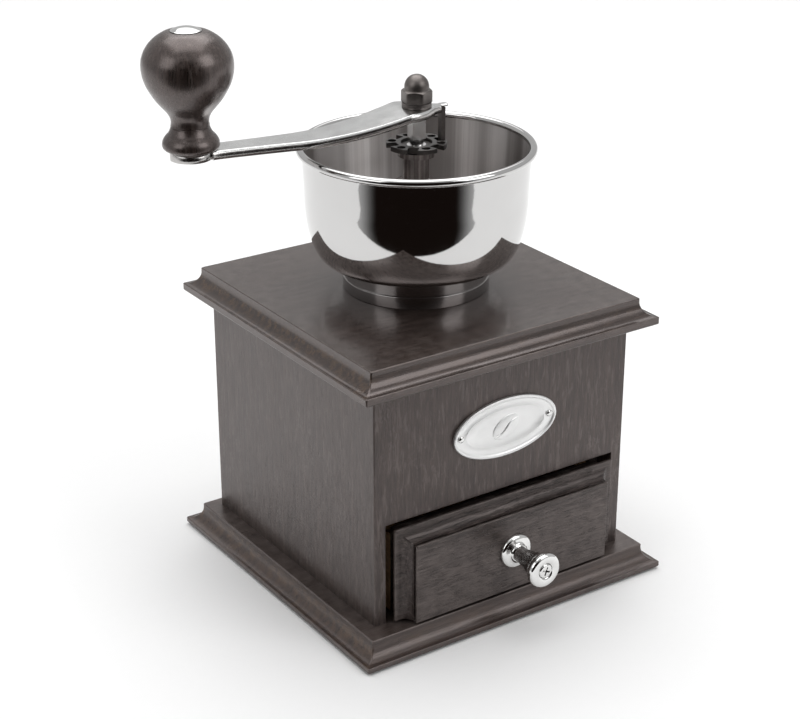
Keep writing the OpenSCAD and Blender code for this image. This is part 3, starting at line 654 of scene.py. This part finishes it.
# ---------------------------------------------------------------- hopper
col = [(25.6, 109.3), (26.5, 109.3)] + arc(26.6, 109.5, 0.2, -60, 0, 2) + [(26.8, 113.4)] + arc(26.5, 113.5, 0.3, 0, 90, 4) + [(26.47, 113.95), (26.45, 114.2), (26.45, 118.6), (26.3, 118.8), (25.6, 118.8)]
put(finish_bm(lathe(col, seg=128), "hopper_collar_turned", M["collar"]), "case", ["hopper_collar"])

outer = smooth_pts([(20.1, 118.8), (23.5, 118.8), (26.6, 118.8), (28.2, 119.05), (30.2, 119.6), (32.45, 120.3)], 3)[:-1]
outer += [(32.45 + 7.98 * math.cos(math.radians(t)), 145 - 24.7 * math.sin(math.radians(t))) for t in range(88, -1, -4)]
outer = [p for p in outer]
outer += [(40.46, 146.5), (40.62, 150.0), (40.8, 153.5), (40.97, 157.0), (41.1, 159.2)]
bead = arc(41.62, 161.1, 1.44, -109.5, 207.3, 28)
inner_w = [(40.34, 160.2), (40.2, 157.0), (40.02, 153.5), (39.85, 150.0), (39.7, 146.5)]
inner_w += [(32.45 + 7.18 * math.cos(math.radians(t)), 145 - 23.9 * math.sin(math.radians(t))) for t in range(0, 89, 4)]
inner_w += smooth_pts([(32.3, 121.1), (30.1, 120.4), (28.1, 119.85), (26.6, 119.6), (23.5, 119.6), (20.1, 119.6)], 3)
prof = outer + bead + inner_w
n_out = len(outer) + len(bead) - 1
mats = [0 if i < n_out else 1 for i in range(len(prof))]
bowl = finish_bm(lathe(prof, seg=160, mats=mats), "hopper_bowl_spun", [M["chrome"], M["inner"]], sharp=40)
put(bowl, "case", ["hopper_bowl"])

# ---------------------------------------------------------------- adjusting wheel
CR = 168.0
outline, holes = [], [arc(0, 0, 5.6, 0, 360, 64)[:-1]]
for i in range(6):
    t0 = CR + 180 + 60 * i
    gap = math.degrees(math.asin(1.85 / 10.9))
    c, n_ = math.cos(math.radians(t0)), math.sin(math.radians(t0))
    outline += [(u * c - v * n_, u * n_ + v * c) for u, v in ((7.75, -1.85), (7.42, -1.72), (7.3, -1.4), (7.3, 1.4), (7.42, 1.72), (7.75, 1.85))]
    outline += arc(0, 0, 10.9, t0 + gap, t0 + 60 - gap, 10)
    h = math.radians(t0 + 30)
    holes.append(arc(8.8 * math.cos(h), 8.8 * math.sin(h), 1.5, 0, 360, 20)[:-1])
bm = plate([outline] + holes, 161.2, 163.0, bmesh.new())
lathe([(5.6, 161.3), (5.6, 162.0), (3.56, 162.0), (3.56, 160.3), (6.7, 160.3), (6.9, 160.5), (6.9, 161.2)], seg=64, bm=bm)
wheel = finish_bm(bm, "adjusting_wheel_notched", M["wheel"], merge=0)
bv = wheel.modifiers.new("soft_edges", "BEVEL")
bv.width, bv.segments, bv.limit_method, bv.angle_limit = 0.18 * MM, 2, "ANGLE", math.radians(50)
put(wheel, "adjuster", ["adjusting_wheel"])


# ---------------------------------------------------------------- crank
def arm_top(u):
    if u <= 5.5:
        return 175.8
    if u >= 46:
        return 169.7
    return 169.7 + 6.1 * ((46 - u) / 40.5) ** 1.9


PLAN = smooth_pts([(-11.7, 0.9), (-11.2, 1.4), (-8.8, 1.6), (-6.6, 2.6), (-4.4, 4.6), (-1.6, 7.2), (1.6, 8.9), (5, 9.6), (9, 9.5), (16, 8.9), (26, 7.9), (38, 6.8), (52, 5.9), (66, 5.4), (74.5, 5.35), (76.6, 5.75)], 4)


def half_width(u):
    eye = math.sqrt(max(0.0, 7.4 ** 2 - (u - 82.5) ** 2))
    if u > 76.5:
        return eye
    for (u0, w0), (u1, w1) in zip(PLAN, PLAN[1:]):
        if u0 <= u <= u1:
            return max(w0 + (w1 - w0) * (u - u0) / (u1 - u0), eye * 0.98)
    return 0.9


T = 3.1
us = [-11.68, -11.5, -11.2, -10.8, -10.4, -10.0, -9.6, -9.2, -8.95, -8.9, -8.6, -8.2] + [-7.8 + 0.8 * i for i in range(0, 76)] + [53.5 + 1.5 * i for i in range(0, 15)]
us += [75.2, 75.8, 76.3, 76.7, 77.2] + [82.5 + 7.39 * math.sin(math.radians(a)) for a in range(-45, 90, 5)] + [89.895]
us = sorted(set(round(u, 4) for u in us))
rows = []
ca, sa = math.cos(math.radians(CR)), math.sin(math.radians(CR))
for u in us:
    top, w = arm_top(u), max(half_width(u), 0.3)
    thick = 0.7 if u < -8.92 else T
    bulge = min(0.8, w * 0.5) * (0.3 if u < -8.92 else 1)
    sec = []
    for k in range(-7, 8):
        q = k / 7
        sec.append((w - bulge * abs(q) ** 2.4, q * thick / 2))
    sec += [(-v, -q) for v, q in sec]
    rows.append([(u * ca - v * sa, u * sa + v * ca, top - thick / 2 + q) for v, q in sec])
arm = finish_bm(rows_to_bm(rows, cap=True), "crank_arm_forged", [M["arm"], M["gun"], M["arm_edge"]], sharp=38)
cut(arm, block(-2.525, -2.525, 165, 2.525, 2.525, 185, CR))
bm = bmesh.new()
bm.from_mesh(arm.data)
extra = []
for q, r_ in ((161.3, 0.25), (161.5, 0.0), (174.9, 0.0)):
    extra.append([(u * ca - v * sa, u * sa + v * ca, q) for u, v in ((-10.4 + r_, -1.6 + r_), (-8.9 - r_, -1.6 + r_), (-8.9 - r_, 1.6 - r_), (-10.4 + r_, 1.6 - r_))])
first = len(bm.faces)
rows_to_bm(extra, cap=True, bm=bm)
bm.faces.ensure_lookup_table()
# the bent-down tongue takes the dark gunmetal instead of the arm's chrome: painted shade on the same forged plate
for f in bm.faces[first:]:
    f.material_index = 1
bm.to_mesh(arm.data)
bm.free()
arm.data.set_sharp_from_angle(angle=math.radians(38))
# faces turned away from the top take the darker chrome: painted shade on the arm's sides and underside
for f in arm.data.polygons:
    if f.material_index == 0 and f.normal.z < 0.45:
        f.material_index = 2
put(arm, "crank", ["crank_arm"])

put(finish_bm(lathe([(2.6, 175.85), (5.15, 175.85), (5.27, 175.9), (5.3, 176.05), (5.3, 177.35), (5.27, 177.48), (5.15, 177.55), (2.6, 177.55)], seg=96), "nut_washer_turned", M["gun"]), "nut_carrier", ["nut_washer"])


def hex_r(t, ap, fillet):
    """Radius of a hexagon with softened corners at angle t."""
    k = 2 * ap / math.sqrt(3)
    a = (math.degrees(t) % 60) - 30
    flat = ap / math.cos(math.radians(a))
    return -math.log(math.exp(-flat / fillet) + math.exp(-(k * 0.975) / fillet)) * fillet


rows = []
N = 144
ts = [2 * math.pi * i / N for i in range(N)]
hexr = [hex_r(t, 5.0, 0.12) for t in ts]
off = math.radians(18)
for inset, z in ((0.35, 177.6), (0.08, 177.7), (0.0, 177.95)):
    rows.append([((h - inset) * math.cos(t + off), (h - inset) * math.sin(t + off), z) for h, t in zip(hexr, ts)])
zc = [min(181.85, 182.05 - (h - 4.9) * 0.75) for h in hexr]
rows.append([(h * math.cos(t + off), h * math.sin(t + off), z) for h, t, z in zip(hexr, ts, zc)])
rows.append([(4.86 * math.cos(t + off), 4.86 * math.sin(t + off), 182.06) for t in ts])
for r, z in [(4.62, 182.1), (4.45, 182.2), (4.4, 182.4), (4.4, 183.1)] + [(4.4 * math.cos(math.radians(a)), 183.1 + 4.4 * math.sin(math.radians(a))) for a in range(6, 90, 6)] + [(0.0002, 187.5)]:
    rows.append([(r * math.cos(t + off), r * math.sin(t + off), z) for t in ts])
bore = [(0.0002, 184.6), (2.5, 184.6), (2.5, 177.6)]
rows += [[(r * math.cos(t + off), r * math.sin(t + off), z) for t in ts] for r, z in bore]
put(finish_bm(rows_to_bm(rows, closed_path=True), "cap_nut_domed", M["gun"], sharp=25), "nut", ["cap_nut"])

KX, KY = 82.5 * ca, 82.5 * sa
prof = [(0.0002, 165.8), (3.35, 165.8), (3.55, 165.9), (3.6, 166.1), (3.6, 166.45), (3.5, 166.58), (2.0, 166.58), (2.0, 210.65), (5.15, 210.65), (5.3, 210.75)]
prof += [(11.6 * math.sin(math.radians(a)), 200.45 + 11.6 * math.cos(math.radians(a))) for a in (27, 24, 20, 16, 12, 8, 4)] + [(0.0002, 212.05)]
put(finish_bm(lathe(prof, (KX, KY), 72, closed=False), "crank_pin_turned", M["fitting"]), "crank", ["crank_pin"])

low = smooth_pts([(7.8, 170.0), (8.7, 170.15), (9.5, 170.8), (9.8, 171.7), (9.6, 173.1), (8.8, 174.5), (7.7, 175.7), (7.0, 177.0), (6.65, 177.9)], 4)
groove = [(6.45, 178.0), (6.38, 178.15), (6.45, 178.3)]
high = smooth_pts([(6.65, 178.45), (6.5, 179.3), (6.52, 180.3), (6.8, 181.5), (7.6, 183.0), (8.8, 184.5), (10.2, 186.1), (11.65, 188.0), (13.05, 190.3), (14.3, 192.7), (15.15, 195.4), (15.5, 197.7), (15.54, 199.4), (15.2, 201.7), (14.3, 204.0), (12.9, 206.1), (11.15, 207.9), (9.3, 209.2), (7.7, 210.1), (6.4, 210.5)], 4)
prof = [(2.06, 170.0)] + low + groove + high + [(6.1, 210.6), (5.6, 210.58), (5.35, 210.4), (2.06, 210.4)]
prof = [(min(r, 15.54), z) for r, z in prof]
knob = finish_bm(lathe(prof, (KX, KY), 128), "crank_knob_turned", M["knob"])
put(knob, "knob", ["crank_knob"])

# ---------------------------------------------------------------- CAD nodes kept, with better finishes
KEEP = {
    "base_screws": ("steel", 0.15), "top_dowels": ("dowel", 0.2), "drawer_left_side": ("box", 0.4), "drawer_right_side": ("box", 0.4),
    "drawer_back": ("box_x", 0.4), "drawer_bottom": ("box_x", 0.2), "burr_housing": ("iron", 0.25), "burr_ring": ("burr", 0.0),
    "upper_bridge": ("iron", 0.3), "hopper_screws": ("steel", 0.12), "upper_bush": ("bronze", 0.12), "lower_bridge": ("iron", 0.3),
    "lower_bridge_screws": ("steel", 0.12), "lower_bush": ("bronze", 0.12), "spring_washer": ("steel", 0.1),
    "main_shaft": ("shaft", 0.3), "burr_cone": ("burr", 0.12),
}
for name, (mat, width) in KEEP.items():
    ob = NODES[name]
    if ob.data.materials:
        for i in range(len(ob.data.materials)):
            ob.data.materials[i] = M[mat]
    else:
        ob.data.materials.append(M[mat])
    if width:
        bv = ob.modifiers.new("soft_edges", "BEVEL")
        bv.width, bv.segments, bv.limit_method, bv.angle_limit = width * MM, 2, "ANGLE", math.radians(40)

# the wound spring, whose foot follows the spindle and whose head stays under the bridge as the spindle comes up: here
# one fixed copy of the CAD spring in bright steel
coil = NODES["spring"].data.copy()
coil.transform(NODES["spring"].matrix_world)
coil.materials.clear()
coil.materials.append(M["steel"])
wound = link(bpy.data.objects.new("spring_wound", coil))
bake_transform(wound)
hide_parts("spring")

# ---------------------------------------------------------------- floor, light, camera
CAM = Vector((-0.36136, -0.52282, 0.35992))
AIM = Vector((-0.00485, 0.00329, 0.07834))


def stage_mat(name, color, rough=0.9):
    m = Net(name)
    n = m.noise(m.mapped((300, 300, 300)), detail=3)
    m.set(base=m.mix(n, tuple(c * 0.985 for c in color[:3]) + (1.0,), color), rough=rough, spec=0.0)
    return m.mat


toward = Vector((CAM.x, CAM.y, 0)).normalized()
side = Vector((-toward.y, toward.x, 0))
# a white table top: it ends 0.21 m in front of the mill and runs 6 m every other way
bm = bmesh.new()
front, reach = 0.21, 6.0
half = math.acos(front / reach)
rim = [toward * front + side * (reach * math.sin(half)), toward * front - side * (reach * math.sin(half))]
rim += [toward * (reach * math.cos(t)) + side * (reach * math.sin(t)) for t in (-half - (2 * math.pi - 2 * half) * k / 60 for k in range(1, 60))]
bm.faces.new([bm.verts.new(v) for v in rim])
floor = finish_bm(bm, "floor", stage_mat("floor_white", rgb(0.93, 0.93, 0.93)), merge=0)
if floor.data.polygons[0].normal.z < 0:
    floor.data.flip_normals()


def lamp(name, loc, target, size, power, size_y=None):
    li = bpy.data.lights.new(name, "AREA")
    li.shape = "RECTANGLE"
    li.size, li.size_y = size, size_y or size
    li.energy = power
    ob = link(bpy.data.objects.new(name, li))
    ob.location = loc
    ob.rotation_euler = (Vector(target) - Vector(loc)).to_track_quat("-Z", "Y").to_euler()
    return ob


lamp("key_top", (0.1, 0.25, 1.45), (0, 0, 0.1), 1.5, 12.7)
lamp("soft_left", (-1.25, -0.15, 0.8), (0, 0, 0.1), 0.8, 2.8)
lamp("soft_back", (0.75, 1.1, 1.5), (0.6, 0.9, 0), 1.6, 7.4)
lamp("soft_right", (0.6, -1.16, 1.0), (0, 0, 0.08), 0.9, 5.7)

world = bpy.data.worlds.new("studio")
bpy.context.scene.world = world
world.use_nodes = True
wn = world.node_tree
bg = wn.nodes["Background"]
tc = wn.nodes.new("ShaderNodeTexCoord")
dot = wn.nodes.new("ShaderNodeVectorMath")
dot.operation = "DOT_PRODUCT"
wn.links.new(tc.outputs["Generated"], dot.inputs[0])
tilt = math.radians(-10)
dot.inputs[1].default_value = (toward.x * math.cos(tilt), toward.y * math.cos(tilt), math.sin(tilt))
shade = wn.nodes.new("ShaderNodeMapRange")
shade.interpolation_type = "SMOOTHSTEP"
wn.links.new(dot.outputs["Value"], shade.inputs["Value"])
shade.inputs["From Min"].default_value = 0.47
shade.inputs["From Max"].default_value = 0.76
room = wn.nodes.new("ShaderNodeMix")
room.data_type = "RGBA"
wn.links.new(shade.outputs["Result"], room.inputs[0])
room.inputs[6].default_value = (0.54, 0.54, 0.54, 1)
room.inputs[7].default_value = (0.009, 0.006, 0.005, 1)
path_ = wn.nodes.new("ShaderNodeLightPath")
seen = wn.nodes.new("ShaderNodeMix")
seen.data_type = "RGBA"
wn.links.new(path_.outputs["Is Camera Ray"], seen.inputs[0])
wn.links.new(room.outputs[2], seen.inputs[6])
seen.inputs[7].default_value = (1, 1, 1, 1)
wn.links.new(seen.outputs[2], bg.inputs["Color"])
bg.inputs["Strength"].default_value = 1.0

cam_data = bpy.data.cameras.new("camera")
cam_data.sensor_width = 36
cam_data.lens = 83.79
cam_data.clip_start, cam_data.clip_end = 0.01, 50
cam = link(bpy.data.objects.new("camera", cam_data))
cam.location = CAM
cam.rotation_euler = (AIM - CAM).to_track_quat("-Z", "Y").to_euler()
bpy.context.scene.camera = cam
bpy.context.scene.view_settings.view_transform = "Standard"
